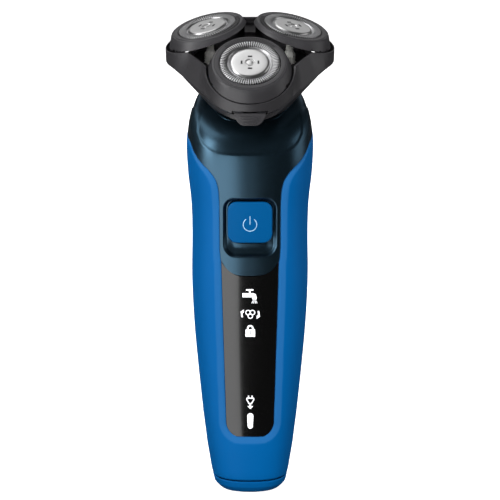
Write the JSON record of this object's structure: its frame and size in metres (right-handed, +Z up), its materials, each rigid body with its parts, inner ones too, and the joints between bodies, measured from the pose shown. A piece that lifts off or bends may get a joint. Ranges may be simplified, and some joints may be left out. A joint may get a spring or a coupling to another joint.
{
  "type": "electric shaver",
  "caption": "Cordless rotary shaver with a slim curved grip, a power button and a tilted three-head shaving unit that opens at the rear.",
  "frame": {"origin": "centre of the flat foot under the handle", "axes": "+Z up the handle, -Y out of the front with the display, +X to the right seen from the rear of the object"},
  "size_m": [0.0598, 0.0562, 0.1748],
  "materials": {
    "grip_blue": "satin moulded plastic",
    "cover_teal": "semi-gloss moulded plastic",
    "charcoal": "satin moulded plastic",
    "black_gloss": "polished",
    "black_matt": "matt",
    "black_rubber": "matt",
    "button_blue": "satin",
    "mark_white": "lit from behind",
    "mark_blue": "printed",
    "steel": "brushed",
    "nickel": "polished",
    "contact_brass": "plated",
    "board_green": "solder mask",
    "cell_sleeve": "shrink sleeve",
    "gear_white": "moulded acetal"
  },
  "bodies": {
    "handle": {"grip_housing": "grip_blue", "front_cover": "cover_teal", "rear_cover": "black_matt", "display_lens": "black_gloss", "display_icons": "mark_white", "bottom_cap": "grip_blue", "charge_socket": "black_matt", "socket_pins": "contact_brass", "neck_ring": "charcoal", "neck_seal": "black_rubber", "button_bezel": "cover_teal", "button_switch": "black_matt", "control_board": "board_green", "status_leds": "mark_white", "light_guide": "mark_white", "chassis": "black_matt", "battery_cell": "cell_sleeve", "battery_tabs": "nickel", "motor_can": "steel", "motor_bracket": "steel"},
    "button": {"power_button": "button_blue", "power_symbol": "mark_blue"},
    "drive": {"motor_shaft": "steel", "drive_coupling": "gear_white"},
    "head_base": {"hair_chamber": "charcoal", "neck_plug": "charcoal", "gear_posts": "steel", "gear_cover": "black_matt", "hinge_lugs": "charcoal", "hinge_pin": "steel"},
    "sun": {"sun_gear": "gear_white"},
    "gear_front": {"planet_front": "gear_white"},
    "gear_right": {"planet_right": "gear_white"},
    "gear_left": {"planet_left": "gear_white"},
    "tab": {"release_tab": "charcoal"},
    "lid": {"head_frame": "charcoal", "frame_rib": "charcoal", "hinge_knuckle": "charcoal", "retaining_plate": "black_matt", "pivot_blocks": "charcoal"},
    "swing_front": {"ring_front": "charcoal", "guard_front": "steel", "disc_front": "steel"},
    "spin_front": {"cutter_front": "steel", "carrier_front": "button_blue"},
    "swing_right": {"ring_right": "charcoal", "guard_right": "steel", "disc_right": "steel"},
    "spin_right": {"cutter_right": "steel", "carrier_right": "button_blue"},
    "swing_left": {"ring_left": "charcoal", "guard_left": "steel", "disc_left": "steel"},
    "spin_left": {"cutter_left": "steel", "carrier_left": "button_blue"}
  },
  "joints": [
    {"name": "drive_spin", "type": "hinge", "parent": "handle", "child": "drive", "pos_m": [0, -0.004, 0.16784], "axis": [0, -0.3665, 0.9304], "continuous": true},
    {"name": "power_press", "type": "slide", "parent": "handle", "child": "button", "axis": [0, 1, 0], "range_m": [0, 0.0006], "stiffness_N_per_m": 300, "springref_m": -0.00005},
    {"name": "head_release", "type": "slide", "parent": "handle", "child": "head_base", "axis": [0, -0.3665, 0.9304], "range_m": [0, 0.03]},
    {"name": "sun_spin", "type": "hinge", "parent": "head_base", "child": "sun", "pos_m": [0, -0.004, 0.16784], "axis": [0, -0.3665, 0.9304], "continuous": true},
    {"name": "gear_spin_front", "type": "hinge", "parent": "head_base", "child": "gear_front", "pos_m": [0, -0.01321, 0.14702], "axis": [0, -0.3665, 0.9304], "continuous": true},
    {"name": "gear_spin_right", "type": "hinge", "parent": "head_base", "child": "gear_right", "pos_m": [0.01403, 0.0094, 0.15592], "axis": [0, -0.3665, 0.9304], "continuous": true},
    {"name": "gear_spin_left", "type": "hinge", "parent": "head_base", "child": "gear_left", "pos_m": [-0.01403, 0.0094, 0.15592], "axis": [0, -0.3665, 0.9304], "continuous": true},
    {"name": "tab_press", "type": "slide", "parent": "head_base", "child": "tab", "axis": [0, 1, 0], "range_m": [0, 0.0008], "stiffness_N_per_m": 300, "springref_m": -0.00005},
    {"name": "lid_open", "type": "hinge", "parent": "head_base", "child": "lid", "pos_m": [0, 0.02411, 0.16333], "axis": [-1, 0, 0], "range_deg": [0, 100]},
    {"name": "ring_tilt_front", "type": "hinge", "parent": "lid", "child": "swing_front", "pos_m": [0, -0.02418, 0.14663], "axis": [-1, 0, 0], "range_deg": [0, 6], "stiffness_Nm_per_rad": 0.02, "springref_deg": -3.44},
    {"name": "cutter_spin_front", "type": "hinge", "parent": "swing_front", "child": "spin_front", "pos_m": [0, -0.01799, 0.15819], "axis": [0, -0.6018, 0.7986], "continuous": true},
    {"name": "ring_tilt_right", "type": "hinge", "parent": "lid", "child": "swing_right", "pos_m": [0.02299, 0.01287, 0.16123], "axis": [0.5, -0.8058, -0.3174], "range_deg": [0, 6], "stiffness_Nm_per_rad": 0.02, "springref_deg": -3.44},
    {"name": "cutter_spin_right", "type": "hinge", "parent": "swing_right", "child": "spin_right", "pos_m": [0.01433, 0.00511, 0.16729], "axis": [0.2314, -0.2289, 0.9456], "continuous": true},
    {"name": "ring_tilt_left", "type": "hinge", "parent": "lid", "child": "swing_left", "pos_m": [-0.02299, 0.01287, 0.16123], "axis": [0.5, 0.8058, 0.3174], "range_deg": [0, 6], "stiffness_Nm_per_rad": 0.02, "springref_deg": -3.44},
    {"name": "cutter_spin_left", "type": "hinge", "parent": "swing_left", "child": "spin_left", "pos_m": [-0.01433, 0.00511, 0.16729], "axis": [-0.2314, -0.2289, 0.9456], "continuous": true}
  ],
  "couplings": [
    {"joint": "sun_spin", "follows": "drive_spin", "ratio": 1},
    {"joint": "gear_spin_front", "follows": "drive_spin", "ratio": -0.8},
    {"joint": "cutter_spin_front", "follows": "drive_spin", "ratio": -0.8},
    {"joint": "gear_spin_right", "follows": "drive_spin", "ratio": -0.8},
    {"joint": "cutter_spin_right", "follows": "drive_spin", "ratio": -0.8},
    {"joint": "gear_spin_left", "follows": "drive_spin", "ratio": -0.8},
    {"joint": "cutter_spin_left", "follows": "drive_spin", "ratio": -0.8}
  ]
}
